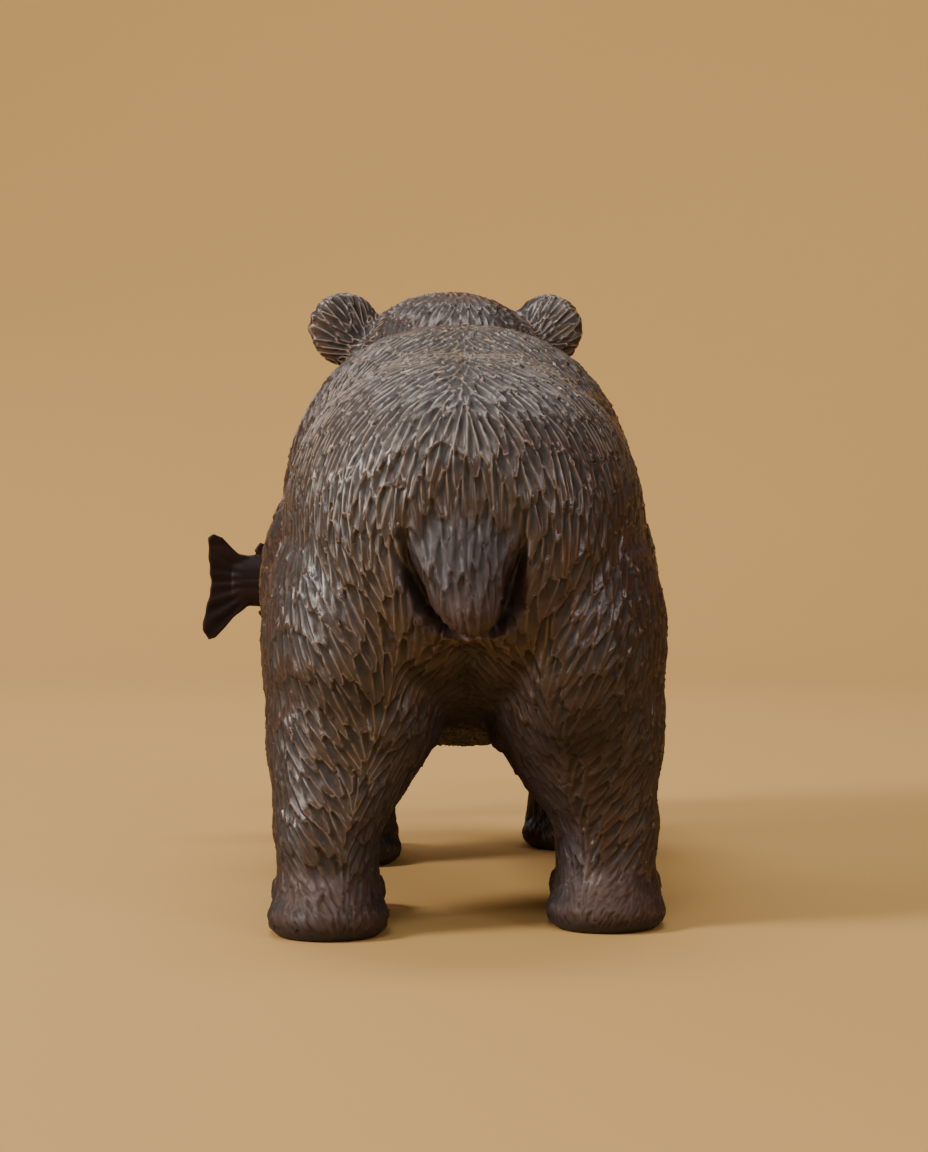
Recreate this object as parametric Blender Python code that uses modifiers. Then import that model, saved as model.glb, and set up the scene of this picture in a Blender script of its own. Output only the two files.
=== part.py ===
"""A wooden bear on all fours with a salmon held crosswise in its mouth, carved with gouge-cut fur.

The bear faces +Y, +X is its right side, and the four soles stand on z = 0.
"""

import math

import bmesh
import bpy
import numpy as np
from mathutils import Matrix, Vector
from mathutils.kdtree import KDTree

# Driving dimensions in metres.
HEIGHT = 0.221
FISH_LENGTH = 0.168
FISH_HEIGHT = 0.034
FISH_THICKNESS = 0.020
TAIL_FIN_SPAN = 0.0445
FIN_THICKNESS = 0.0036
MOUTH_CLEARANCE = 0.0004

# One unit of the bear's own proportions: it stands 221 units tall.
UNIT = HEIGHT / 221

# Carved locks: how long, how wide and how deep the coarse gouge cuts are.
LOCK_LENGTH = 0.028
LOCK_WIDTH = 0.012
LOCK_DEPTH = 0.0019
LOCK_SPACING = 0.84
LOCK_SEED = 7

# Working grain of the carved block, and the number of triangles that the finished bear keeps.
GRAIN = 0.0016
FILLET_PASSES = 9
BEAR_TRIANGLES = 7900

# The walking pose: where each foot stands, left and right, behind and in front.
HIND_LEFT = (-42.3, 13)
HIND_RIGHT = (45, 29)
FRONT_LEFT = (-45, 188)
FRONT_RIGHT = (44.5, 238)
TOE_OUT = 3

# How far ahead both hips are, and how far the rounded heels reach back behind their ankles.
HIP = 22
HEEL_BACK = 26.5

# The head: where the skull's middle is, and in degrees how far it looks down and left and how far the jaw is open.
SKULL = (-6, 246, 177)
HEAD_DOWN = 47
HEAD_LEFT = 6
JAW_OPEN = 12

# The ears: how far left and right of the skull's middle, behind it and above it, and how deep their hollow is.
EAR_LEFT = -42
EAR_RIGHT = 38
EAR_BEHIND = 9
EAR_ABOVE = 27
EAR_HOLLOW = 4

# The tail's tip, and how deep the grooves beside it, the pit under it and the crease between the thighs are.
TAIL_TIP = (2.5, -19, 91.5)
TAIL_GROOVE = 5.5
TAIL_PIT = 3.5
THIGH_CREASE = 3

# The salmon's middle, from the skull's middle along the open mouth.
BITE_REACH = 84
BITE_DOWN = 60
FISH_TO_RIGHT = -14

# Points around one section of the bear and of the salmon.
RING_POINTS = 28
FISH_RING_POINTS = 20


def clear_scene():
    for thing in list(bpy.data.objects):
        bpy.data.objects.remove(thing, do_unlink=True)


def collection(name):
    group = bpy.data.collections.new(name)
    bpy.context.scene.collection.children.link(group)
    return group


def material(name, colour, roughness):
    made = bpy.data.materials.new(name)
    made.use_nodes = True
    shader = made.node_tree.nodes["Principled BSDF"]
    shader.inputs["Base Color"].default_value = (*colour, 1)
    shader.inputs["Roughness"].default_value = roughness
    shader.inputs["Metallic"].default_value = 0
    made.diffuse_color = (*colour, 1)
    return made


def smooth_rows(rows, steps):
    """Rows of numbers drawn out into a smooth run that passes through each row."""
    rows = np.asarray(rows, float)
    ends = np.vstack([2 * rows[0] - rows[1], rows, 2 * rows[-1] - rows[-2]])
    run = []
    for before, start, stop, after in zip(ends, ends[1:], ends[2:], ends[3:]):
        for step in range(steps):
            t = step / steps
            bend = 2 * before - 5 * start + 4 * stop - after
            twist = 3 * start - before - 3 * stop + after
            run.append(start + 0.5 * t * ((stop - before) + t * (bend + t * twist)))
    run.append(rows[-1])
    return np.array(run)


def loft(form, sections, side, up, steps=4, points=RING_POINTS):
    """Adds a closed body through oval sections: middle x, y, z, half width, half height and squareness."""
    side = Vector(side).normalized()
    up = Vector(up).normalized()
    rings = []
    for x, y, z, half_width, half_height, square in smooth_rows(sections, steps):
        ring = []
        for index in range(points):
            angle = 2 * math.pi * index / points
            across = math.copysign(abs(math.cos(angle)) ** (2 / square), math.cos(angle))
            above = math.copysign(abs(math.sin(angle)) ** (2 / square), math.sin(angle))
            place = Vector((x, y, z)) + side * (half_width * across) + up * (half_height * above)
            ring.append(form.verts.new(place * UNIT))
        rings.append(ring)
    faces = []
    for one, other in zip(rings, rings[1:]):
        for index in range(points):
            following = (index + 1) % points
            faces.append(form.faces.new((one[index], one[following], other[following], other[index])))
    faces.append(form.faces.new(rings[0]))
    faces.append(form.faces.new(rings[-1]))
    bmesh.ops.recalc_face_normals(form, faces=faces)


def ball(form, middle, radii, turn=(0, 0, 0)):
    """Adds an ellipsoid with its three half sizes, turned about X, Y and Z in degrees."""
    made = bmesh.ops.create_uvsphere(form, u_segments=24, v_segments=16, radius=1)["verts"]
    for vert in made:
        place = Vector(vert.co[axis] * radii[axis] for axis in range(3))
        for axis, angle in zip("XYZ", turn):
            place.rotate(turned(axis, angle))
        vert.co = (place + Vector(middle)) * UNIT


def turned(axis, angle):
    return Matrix.Rotation(math.radians(angle), 3, axis)


def head_point(along, above, right=0):
    """A place on the head, from the skull's middle: along the muzzle, above it and to the right."""
    place = Vector((right, along, above))
    place.rotate(turned("X", -HEAD_DOWN))
    place.rotate(turned("Z", HEAD_LEFT))
    return place + Vector(SKULL)


def head_way(along, above, right=0):
    return head_point(along, above, right) - Vector(SKULL)


def fish_middle():
    reach = Vector((0, math.cos(math.radians(BITE_DOWN)), -math.sin(math.radians(BITE_DOWN)))) * BITE_REACH
    reach.rotate(turned("Z", HEAD_LEFT))
    return (Vector(SKULL) + reach) * UNIT


def torso(form):
    """Rump, belly, shoulder hump and neck."""
    sections = [
        (0, -18, 126, 20, 21, 2.0),
        (0, -11, 124, 39, 38, 2.1),
        (0, 8, 122, 52, 51, 2.2),
        (0, 38, 121, 59, 60, 2.3),
        (0, 80, 120, 60, 64, 2.3),
        (0, 125, 119, 61, 68, 2.3),
        (0, 162, 122.5, 65, 77.5, 2.3),
        (-2, 192, 126, 68, 77, 2.3),
        (-4, 218, 132, 63, 68, 2.3),
        (-5, 240, 142, 51, 55, 2.1),
        (-4, 256, 152, 38, 38, 2.0),
    ]
    loft(form, sections, (1, 0, 0), (0, 0, 1))


def hind_leg(form, foot, side):
    x, y = foot
    out = 0.5 * (abs(x) - 42)
    ball(form, (side * 36.5, HIP + 5, 91), (28.5, 40, 46), (0, 0, -side * 6))
    sections = [
        (side * (32 + out), HIP + 11, 88, 30.5, 39, 2.2),
        (side * (33.5 + out), HIP + 7 + (y - HIP) * 0.25, 67, 29.5, 34, 2.2),
        (side * (36.5 + out), HIP + 5 + (y - HIP) * 0.5, 54, 26, 28, 2.3),
        (side * (39 + out), HIP + 2 + (y - HIP) * 0.8, 43, 21.2, 23, 2.3),
        (x, y, 32, 17.8, 19.5, 2.3),
        (x, y - 1, 20, 16.3, 18, 2.3),
        (x, y, 10, 16.8, 19, 2.3),
        (x, y + 1, 1, 16.8, 19, 2.3),
    ]
    loft(form, sections, (1, 0, 0), (0, 1, 0))
    paw(form, foot, side, 19.6, 56)


def front_leg(form, foot, side):
    x, y = foot
    ball(form, (side * 48, y - 6, 104), (29.5, 34, 46), (0, 0, side * 4))
    sections = [
        (side * 50, y - 8, 100, 26, 30, 2.2),
        (side * 50.5, y - 7, 68, 25.5, 27, 2.3),
        (side * 48.5, y - 4, 42, 22.5, 23, 2.3),
        (x, y - 1, 22, 19.5, 20, 2.3),
        (x, y + 1, 9, 19.5, 20, 2.3),
        (x, y + 2, 1, 19, 20, 2.3),
    ]
    loft(form, sections, (1, 0, 0), (0, 1, 0))
    paw(form, foot, side, 22, 50)


def paw(form, foot, side, half_width, reach):
    """A rounded pad that flares at the heel, with five toes and claws across its front, toes turned out."""
    turn = -side * TOE_OUT

    def beside_ankle(across, ahead, up):
        place = Vector((across, ahead, up))
        place.rotate(turned("Z", turn))
        return place + Vector((*foot, 0))

    heel = 20
    ball(form, beside_ankle(0, heel - HEEL_BACK, 6), (half_width, heel, 9.5), (0, 0, turn))
    middle = (reach - HEEL_BACK) / 2
    ball(form, beside_ankle(0, middle, 7), (half_width - 2, reach - middle - 6, 10.5), (0, 0, turn))
    ball(form, beside_ankle(0, middle + 3, 11), (half_width - 4, reach - middle - 14, 13), (0, 0, turn))
    for toe in range(5):
        share = (toe - 2) / 2
        across = share * (half_width - 6)
        front = reach - 10 - 6 * share * share
        ball(form, beside_ankle(across, front, 6.8), (5.4, 10, 7.6), (0, 0, turn - share * 12))
        claw = []
        for ahead, up, half in ((6, 8.5, 3.0), (12, 7.5, 2.5), (17, 3.5, 1.5)):
            claw.append((*beside_ankle(across * (1 + ahead / 200), front + ahead, up), half, half, 2))
        loft(form, claw, (1, 0, 0), (0, 0.4, 1), 3, 12)


def tail(form):
    """A tongue-shaped tail that hangs close against the rump."""
    sections = [
        (-1, -3, 146, 8, 6, 2),
        (-1, -10, 136, 13, 7.5, 2.1),
        (-1, -15, 124, 15, 8.5, 2.2),
        (0, -17.5, 111, 14, 8.5, 2.2),
        (1.5, -18.5, 100, 10, 7.5, 2.1),
        (*TAIL_TIP, 4, 4.5, 2),
    ]
    loft(form, sections, (1, 0, 0), (0, 1, 0.25))


def head(form):
    """Skull, cheeks, brow, muzzle and both jaws."""
    ball(form, SKULL, (45, 45, 43.5), (-18, 0, HEAD_LEFT))
    side = head_way(0, 0, 1)
    for right in (-1, 1):
        ball(form, head_point(12, -16, right * 26), (19, 25, 24), (-HEAD_DOWN, 0, HEAD_LEFT))
        ball(form, head_point(33, 22, right * 14), (10, 11, 6.5), (-HEAD_DOWN, 0, HEAD_LEFT))
    upper = [
        (*head_point(10, 3), 34, 31, 2.2),
        (*head_point(36, 2), 28, 24.5, 2.2),
        (*head_point(56, 2), 22, 18.5, 2.3),
        (*head_point(78, 2), 19, 15, 2.4),
        (*head_point(95, 1), 17, 13.5, 2.4),
        (*head_point(104, -1), 11, 9, 2.2),
    ]
    loft(form, upper, side, head_way(0, 1))
    ball(form, head_point(102, 7), (9.5, 6, 7), (-HEAD_DOWN, 0, HEAD_LEFT))
    slope = math.radians(JAW_OPEN)
    jaw = []
    for reach, half_width, half_height in ((12, 28, 15), (36, 22, 11), (62, 17, 8.5), (84, 14.5, 7), (93, 9.5, 5)):
        along = reach * math.cos(slope)
        above = -21 - reach * math.sin(slope)
        jaw.append((*head_point(along, above), half_width, half_height, 2.2))
    loft(form, jaw, side, head_way(math.sin(slope), math.cos(slope)))


def ear_middle(side):
    middle = Vector((EAR_LEFT if side < 0 else EAR_RIGHT, -EAR_BEHIND, EAR_ABOVE))
    middle.rotate(turned("Z", HEAD_LEFT))
    return middle + Vector(SKULL)


def ear(form, side):
    """A thick round ear, leaning outwards."""
    middle = ear_middle(side)
    sections = []
    outline = ((-15, 5, 4), (-10, 11.5, 5.2), (-3, 14.8, 5.6), (5, 14.6, 5.4), (11, 11, 4.8), (15, 5, 3))
    lean = Vector((side * 0.42, -0.1, 1)).normalized()
    across = Vector((1, -side * 0.28, -side * 0.42)).normalized()
    for reach, half_width, half_thickness in outline:
        sections.append((*(middle + lean * reach), half_width, half_thickness, 2.1))
    loft(form, sections, across, across.cross(lean), 3)


def eyes(form):
    for right in (-1, 1):
        ball(form, head_point(41, 14, right * 19.5), (4, 4, 4))


def build_block():
    """All of the bear's masses, still as separate overlapping bodies in one mesh."""
    form = bmesh.new()
    torso(form)
    hind_leg(form, HIND_LEFT, -1)
    hind_leg(form, HIND_RIGHT, 1)
    front_leg(form, FRONT_LEFT, -1)
    front_leg(form, FRONT_RIGHT, 1)
    tail(form)
    head(form)
    for side in (-1, 1):
        ear(form, side)
    eyes(form)
    mesh = bpy.data.meshes.new("block")
    form.to_mesh(mesh)
    form.free()
    return mesh


def evaluated_mesh(thing):
    """The object's mesh with its modifiers in it."""
    bpy.context.view_layer.update()
    seen = thing.evaluated_get(bpy.context.evaluated_depsgraph_get())
    return bpy.data.meshes.new_from_object(seen)


def blended(mesh, group):
    """One closed skin around all the masses, with soft fillets where they meet."""
    thing = bpy.data.objects.new("block", mesh)
    group.objects.link(thing)
    skin = thing.modifiers.new("skin", "REMESH")
    skin.mode = "VOXEL"
    skin.voxel_size = GRAIN
    fillet = thing.modifiers.new("fillet", "SMOOTH")
    fillet.factor = 0.5
    fillet.iterations = FILLET_PASSES
    result = evaluated_mesh(thing)
    bpy.data.objects.remove(thing, do_unlink=True)
    return result


def ease(low, high, value):
    """0 below low, 1 above high, and smooth between."""
    t = np.clip((value - low) / (high - low), 0, 1)
    return t * t * (3 - 2 * t)


def fur_way(places, normals):
    """The way the fur lies at each place, along the surface, in units of the bear's proportions."""
    x, y, z = places.T
    side = np.tanh(x / 6)
    back = np.stack([0.62 * side, -1 + 0 * x, -0.55 - 0.3 * np.abs(side)], 1)
    seam = np.where(x > 0, 1, -1) * (21.5 + 16 * ease(0, 1, (95 - z) / 75))
    rump = np.stack([-0.55 * np.tanh((x - seam) / 5), 0 * x, -1 + 0 * x], 1)
    leg = np.stack([0.12 * side, -0.45 + 0 * x, -1 + 0 * x], 1)
    behind = ease(0.1, 0.6, -normals[:, 1]) * ease(80, 40, y)
    low = ease(118, 84, z)
    lower = leg + (rump - leg) * behind[:, None]
    way = back + (lower - back) * low[:, None]
    face = np.array(head_way(-1, 0.25))
    ahead = ease(225, 245, y) * ease(70, 110, z)
    way = way + (face - way) * ahead[:, None]
    way = way - normals * np.sum(way * normals, 1)[:, None]
    return way / (np.linalg.norm(way, axis=1)[:, None] + 1e-9)


def fur_strength(places):
    """How deep the locks are cut: none on soles, claws, muzzle and the rims of the ears."""
    x, y, z = places.T
    strength = ease(3, 16, z)
    bare_muzzle = np.array(head_point(78, -12))
    strength = strength * ease(38, 56, np.linalg.norm(places - bare_muzzle, axis=1))
    for side in (-1, 1):
        from_ear = np.linalg.norm(places - np.array(ear_middle(side)), axis=1)
        strength = strength * (0.25 + 0.75 * ease(14, 22, from_ear))
    return strength


def hollows(places, normals):
    """Where the block is cut deeper: beside the tail, between the thighs and inside the ears, in units."""
    x, y, z = places.T
    behind = ease(0.2, 0.6, -normals[:, 1]) * ease(20, 0, y)
    tip_x, _, tip_z = TAIL_TIP
    above_tip = np.clip((z - tip_z) / 30, 0, 1)
    half_width = 18 * np.sqrt(above_tip * (2 - above_tip))
    middle_line = tip_x * ease(20, 0, z - tip_z)
    from_edge = np.abs(x - middle_line) - half_width
    groove = np.exp(-((from_edge / 2.6) ** 2)) * ease(-3, 2, z - tip_z) * ease(34, 20, z - tip_z)
    pit = np.exp(-(((x - tip_x) / 7) ** 2) - ((z - tip_z + 6) / 7) ** 2)
    crease = np.exp(-((x / 5) ** 2)) * ease(60, 70, z) * ease(90, 82, z)
    cut = behind * np.maximum(np.maximum(TAIL_GROOVE * groove, TAIL_PIT * pit), THIGH_CREASE * crease)
    for side in (-1, 1):
        bowl = np.array(ear_middle(side)) + np.array((side * 0.5, 4, 1))
        share = np.linalg.norm((places - bowl) / (9.5, 9, 10.5), axis=1)
        in_front = ease(0.15, 0.6, normals[:, 1])
        cut = np.maximum(cut, EAR_HOLLOW * in_front * np.clip(1 - share**3, 0, 1))
    return cut


def mesh_arrays(mesh):
    places = np.empty(len(mesh.vertices) * 3, np.float32)
    mesh.vertices.foreach_get("co", places)
    normals = np.empty(len(mesh.vertices) * 3, np.float32)
    mesh.vertex_normals.foreach_get("vector", normals)
    return places.reshape(-1, 3).astype(float), normals.reshape(-1, 3).astype(float)


def spread_seeds(places, normals, ways):
    """Places for the locks, evenly strewn: closer side by side than end to end."""
    chance = np.random.RandomState(LOCK_SEED)
    order = chance.permutation(len(places))
    cell = LOCK_LENGTH
    kept = []
    cells = {}
    for index in order:
        place = places[index]
        way = ways[index]
        across = np.cross(normals[index], way)
        home = tuple((place // cell).astype(int))
        near = []
        for i in (-1, 0, 1):
            for j in (-1, 0, 1):
                for k in (-1, 0, 1):
                    near += cells.get((home[0] + i, home[1] + j, home[2] + k), [])
        if near:
            offset = places[near] - place
            along = offset @ way / (LOCK_LENGTH * LOCK_SPACING)
            beside = offset @ across / (LOCK_WIDTH * LOCK_SPACING)
            off_surface = offset @ normals[index] / LOCK_LENGTH
            if np.min(along**2 + beside**2 + off_surface**2) < 1:
                continue
        kept.append(index)
        cells.setdefault(home, []).append(index)
    return kept


def carve_locks(mesh):
    """Cuts the coarse locks of fur: each is a hollow gouge cut that deepens under the lock above it."""
    places, normals = mesh_arrays(mesh)
    ways = fur_way(places / UNIT, normals)
    tree = KDTree(len(places))
    for index, place in enumerate(places):
        tree.insert(place, index)
    tree.balance()
    depth = np.zeros(len(places))
    for seed in spread_seeds(places, normals, ways):
        found = tree.find_range(places[seed], LOCK_LENGTH * 0.75)
        near = np.array([index for _, index, _ in found])
        near = near[normals[near] @ normals[seed] > 0.3]
        offset = places[near] - places[seed]
        along = offset @ ways[seed] / (LOCK_LENGTH / 2)
        beside = offset @ np.cross(normals[seed], ways[seed]) / (LOCK_WIDTH / 2)
        ends = np.where(along < 0, along**4, along**2)
        cut = 1 - beside**2 - ends
        depth[near] = np.maximum(depth[near], cut)
    depth = depth * LOCK_DEPTH * fur_strength(places / UNIT) + hollows(places / UNIT, normals) * UNIT
    moved = places - normals * depth[:, None]
    mesh.vertices.foreach_set("co", moved.astype(np.float32).ravel())
    mesh.update()


def salmon_sections(spare=0.0):
    """The salmon from snout to tail root in metres: along, middle height, half height, half thickness."""
    length = FISH_LENGTH
    height = FISH_HEIGHT / 2
    thick = FISH_THICKNESS / 2
    shares = [
        (0.500, -0.10, 0.10, 0.10),
        (0.480, -0.08, 0.34, 0.36),
        (0.420, -0.03, 0.66, 0.72),
        (0.330, 0.00, 0.88, 0.94),
        (0.200, 0.00, 1.00, 1.00),
        (0.050, 0.00, 1.00, 1.00),
        (-0.100, 0.00, 0.92, 0.90),
        (-0.230, 0.00, 0.76, 0.70),
        (-0.330, 0.00, 0.66, 0.48),
        (-0.385, 0.00, 0.62, 0.34),
        (-0.425, -0.02, 0.58, 0.24),
    ]
    return [
        (length * along, height * middle, height * tall + spare, thick * wide + spare)
        for along, middle, tall, wide in shares
    ]


def salmon_body(form, spare=0.0):
    """The salmon's body along X with its snout at +X, in metres."""
    rings = []
    for along, middle, half_height, half_thickness in smooth_rows(salmon_sections(spare), 3):
        ring = []
        for index in range(FISH_RING_POINTS):
            angle = 2 * math.pi * index / FISH_RING_POINTS
            place = (along, half_thickness * math.cos(angle), middle + half_height * math.sin(angle))
            ring.append(form.verts.new(place))
        rings.append(ring)
    for one, other in zip(rings, rings[1:]):
        for index in range(FISH_RING_POINTS):
            following = (index + 1) % FISH_RING_POINTS
            form.faces.new((one[index], one[following], other[following], other[index]))
    form.faces.new(rings[0])
    form.faces.new(rings[-1])
    bmesh.ops.recalc_face_normals(form, faces=form.faces[:])


def blade(name, outline, thickness, group):
    """A flat fin in the salmon's upright middle plane: a closed outline with its thickness."""
    curve = bpy.data.curves.new(name, "CURVE")
    curve.dimensions = "2D"
    curve.fill_mode = "BOTH"
    curve.extrude = thickness / 2
    line = curve.splines.new("POLY")
    line.points.add(len(outline) - 1)
    for point, (along, above) in zip(line.points, outline):
        point.co = (along, above, 0, 1)
    line.use_cyclic_u = True
    drawn = bpy.data.objects.new(name, curve)
    group.objects.link(drawn)
    mesh = evaluated_mesh(drawn)
    bpy.data.objects.remove(drawn, do_unlink=True)
    form = bmesh.new()
    form.from_mesh(mesh)
    bmesh.ops.remove_doubles(form, verts=form.verts[:], dist=1e-6)
    for vert in form.verts:
        along, above, out = vert.co
        vert.co = (along, out, above)
    bmesh.ops.recalc_face_normals(form, faces=form.faces[:])
    form.to_mesh(mesh)
    form.free()
    return cutter(name, mesh, group)


def fin_outlines():
    """Each fin as points along the salmon and above its middle line, in metres."""
    end = -FISH_LENGTH / 2
    span = TAIL_FIN_SPAN
    edge = [
        (0.46, 0.20), (0.41, 0.235), (0.34, 0.25), (0.27, 0.32), (0.19, 0.405), (0.10, 0.445), (0.05, 0.40),
        (0.05, 0.27), (0.06, 0.12), (0.076, -0.045), (0.05, -0.17), (0.0, -0.37), (0.0, -0.47), (0.05, -0.555),
        (0.12, -0.53), (0.21, -0.435), (0.29, -0.34), (0.38, -0.27), (0.46, -0.20),
    ]
    outlines = {"tail_fin": [(end + span * ahead, span * above) for ahead, above in edge]}
    length = FISH_LENGTH
    height = FISH_HEIGHT
    for name, ahead, root, tip, spread in (
        ("small_back_fin", -0.318, 0.25, 0.47, 0.026),
        ("vent_fin", -0.305, -0.25, -0.52, 0.03),
        ("belly_fin", -0.10, -0.40, -0.66, 0.035),
        ("breast_fin", 0.30, -0.36, -0.64, 0.035),
    ):
        lean = 0.03
        outlines[name] = [
            (length * (ahead + spread), height * root),
            (length * (ahead - spread), height * root),
            (length * (ahead - spread - lean), height * (root + tip) / 2),
            (length * (ahead - spread * 0.4 - lean), height * tip),
            (length * (ahead + spread * 0.6 - lean), height * (root + 4 * tip) / 5),
        ]
    return outlines


def salmon(group, cutters):
    form = bmesh.new()
    salmon_body(form)
    mesh = bpy.data.meshes.new("salmon")
    form.to_mesh(mesh)
    form.free()
    made = bpy.data.objects.new("salmon", mesh)
    group.objects.link(made)
    for name, outline in fin_outlines().items():
        fin = blade(name, outline, FIN_THICKNESS, cutters)
        fin.parent = made
        join = made.modifiers.new(name, "BOOLEAN")
        join.operation = "UNION"
        join.solver = "EXACT"
        join.object = fin
    return made


def cutter(name, mesh, group):
    made = bpy.data.objects.new(name, mesh)
    made.hide_render = True
    made.display_type = "WIRE"
    group.objects.link(made)
    return made


def mouth_seat(group):
    """The salmon's body with the mouth's clearance around it, which the jaws are hollowed by."""
    form = bmesh.new()
    salmon_body(form, MOUTH_CLEARANCE)
    mesh = bpy.data.meshes.new("mouth_seat")
    form.to_mesh(mesh)
    form.free()
    return cutter("mouth_seat", mesh, group)


def ground(group):
    """The block that cuts the four soles flat at z = 0."""
    form = bmesh.new()
    size = 4 * HEIGHT
    bmesh.ops.create_cube(form, size=size)
    bmesh.ops.translate(form, verts=form.verts[:], vec=(0, 0, -size / 2))
    mesh = bpy.data.meshes.new("ground")
    form.to_mesh(mesh)
    form.free()
    return cutter("ground", mesh, group)


def carve_away(thing, tool):
    cut = thing.modifiers.new(tool.name, "BOOLEAN")
    cut.operation = "DIFFERENCE"
    cut.solver = "EXACT"
    cut.object = tool


def bear(group, cutters):
    skin = blended(build_block(), cutters)
    carve_locks(skin)
    carved = bpy.data.objects.new("carved", skin)
    cutters.objects.link(carved)
    thin = carved.modifiers.new("facets", "DECIMATE")
    thin.ratio = BEAR_TRIANGLES / (2 * len(skin.polygons))
    made = bpy.data.objects.new("bear", evaluated_mesh(carved))
    bpy.data.objects.remove(carved, do_unlink=True)
    group.objects.link(made)
    return made


def stand_on_origin(things, stand):
    """Moves the stand so that the middle of the whole figure's box is over the origin."""
    places = []
    for thing in things:
        mesh = evaluated_mesh(thing)
        mesh.transform(thing.matrix_world)
        places.append(mesh_arrays(mesh)[0])
    places = np.vstack(places)
    middle = (places.min(0) + places.max(0)) / 2
    stand.location = (-middle[0], -middle[1], 0)


def build():
    clear_scene()
    parts = collection("Carved bear")
    cutters = collection("Cutters")
    stand = bpy.data.objects.new("stand", None)
    parts.objects.link(stand)
    body = bear(parts, cutters)
    fish = salmon(parts, cutters)
    seat = mouth_seat(cutters)
    floor = ground(cutters)
    for thing in (fish, seat):
        thing.location = fish_middle() + Vector((FISH_TO_RIGHT * UNIT, 0, 0))
        thing.rotation_euler = (0, 0, math.radians(HEAD_LEFT))
    for tool in (seat, floor):
        carve_away(body, tool)
    for thing in (body, fish, seat, floor):
        thing.parent = stand
    stand_on_origin((body, fish), stand)
    body.data.materials.append(material("dark wood", (0.075, 0.048, 0.036), 0.45))
    fish.data.materials.append(material("darker wood", (0.022, 0.012, 0.010), 0.4))


build()
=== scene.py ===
"""The look of a wooden bear on all fours that holds a salmon crosswise in its mouth.

The bear's skin is built from the same named masses as the solid, then cut stroke by stroke with a small
gouge. The fur, the hollows beside the tail and the salmon's fin rays are all real relief in the mesh.
"""

import math

import bmesh
import bpy
import numpy as np
from mathutils import Matrix, Vector
from mathutils.kdtree import KDTree


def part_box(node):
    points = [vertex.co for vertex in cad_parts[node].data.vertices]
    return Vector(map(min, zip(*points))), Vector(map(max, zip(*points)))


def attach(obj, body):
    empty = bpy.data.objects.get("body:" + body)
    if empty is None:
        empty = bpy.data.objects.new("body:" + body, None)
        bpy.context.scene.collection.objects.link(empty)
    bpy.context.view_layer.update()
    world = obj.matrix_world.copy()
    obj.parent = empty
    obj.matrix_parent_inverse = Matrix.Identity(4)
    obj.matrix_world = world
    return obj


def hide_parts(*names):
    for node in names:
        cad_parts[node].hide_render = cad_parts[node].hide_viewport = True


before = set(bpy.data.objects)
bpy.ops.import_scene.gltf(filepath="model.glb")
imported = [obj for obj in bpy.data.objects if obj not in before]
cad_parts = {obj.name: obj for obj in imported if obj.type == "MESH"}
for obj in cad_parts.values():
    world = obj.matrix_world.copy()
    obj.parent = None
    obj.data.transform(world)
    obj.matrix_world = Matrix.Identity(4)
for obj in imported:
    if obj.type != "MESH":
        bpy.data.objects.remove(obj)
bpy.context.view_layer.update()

# Everything on the figure is given in millimetres and turned into metres with this unit.
UNIT = 0.001

# The salmon, in metres.
FISH_LENGTH = 0.168
FISH_HEIGHT = 0.034
FISH_THICKNESS = 0.020
TAIL_FIN_SPAN = 0.0445
FIN_THICKNESS = 0.0036
MOUTH_CLEARANCE = 0.0004

# Gouge strokes on the back: length and width, how closely they are set as a share of that, the depth of
# their hollow under the ridges around it, and how far each one's lower tip stands proud of the next.
STROKE_LENGTH = 15.0
STROKE_WIDTH = 2.9
STROKE_SPACING = 0.74
STROKE_DEPTH = 1.15
STROKE_STEP = 0.75
STROKE_SEED = 11
STROKE_TRIES = 110000

# How much single strokes differ: smallest and largest share of length and width, and turn in degrees.
SMALLEST_STROKE = (0.85, 0.9)
LARGEST_STROKE = (1.2, 1.12)
STROKE_TURN = 7

# How far from the ridge between two strokes the hollow is fully deep, and how wide the paler ridge is,
# rubbed and painted with highlight.
BOWL_REACH = 1.7
RIDGE_REACH = 0.32

# Working grain of the skin, the passes that round its fillets, and the triangles kept in each area.
GRAIN = 0.8
FILLET_PASSES = 36
SEEN_TRIANGLES = 107000
OTHER_TRIANGLES = 71000

# The walking pose: where each foot stands, to the right and ahead, and the toes' turn out in degrees.
HIND_LEFT = (-42.3, 13)
HIND_RIGHT = (45, 29)
FRONT_LEFT = (-45, 188)
FRONT_RIGHT = (44.5, 238)
TOE_OUT = 3

# Each paw's half width, and how far its toes reach ahead of the leg.
HIND_PAW = (19.6, 56)
FRONT_PAW = (22, 50)

# How far ahead the hip is, each heel's half length, and how far its back lies behind the ankle.
HIP = 22
HEEL_LENGTH = 20
HEEL_BACK = 26.5

# The head: the skull's middle, and in degrees how far it looks down and left and how far the jaw is open.
SKULL = (-6, 246, 177)
HEAD_DOWN = 47
HEAD_LEFT = 6
JAW_OPEN = 12

# The eyes, lids and nostrils: along the muzzle, above it and to either side, and the eyeball's radius.
EYE = (41, 14, 19.5)
LIDS = (43, 16, 22)
NOSTRIL = (107, 7, 4.6)
EYE_RADIUS = 4

# The ears: left and right of the skull's middle, behind it and above it, and how deep their hollow is.
EAR_LEFT = -42
EAR_RIGHT = 38
EAR_BEHIND = 9
EAR_ABOVE = 27
EAR_HOLLOW = 4

# The tail's tip, and how deep the grooves beside it, the pit under it and the thighs' crease are.
TAIL_TIP = (2.5, -19, 91.5)
TAIL_GROOVE = 6.5
TAIL_PIT = 5.0
THIGH_CREASE = 4

# The salmon's middle, from the skull's middle along the open mouth, which points down by so many degrees.
BITE_REACH = 84
BITE_DOWN = 60
FISH_TO_RIGHT = -14

# The photograph's camera on the figure's own axes, in metres: place, degrees down, and lens in millimetres.
CAMERA_AT = (0, -0.8, 0.125)
CAMERA_DOWN = 1.0
LENS = 81.7

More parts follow.
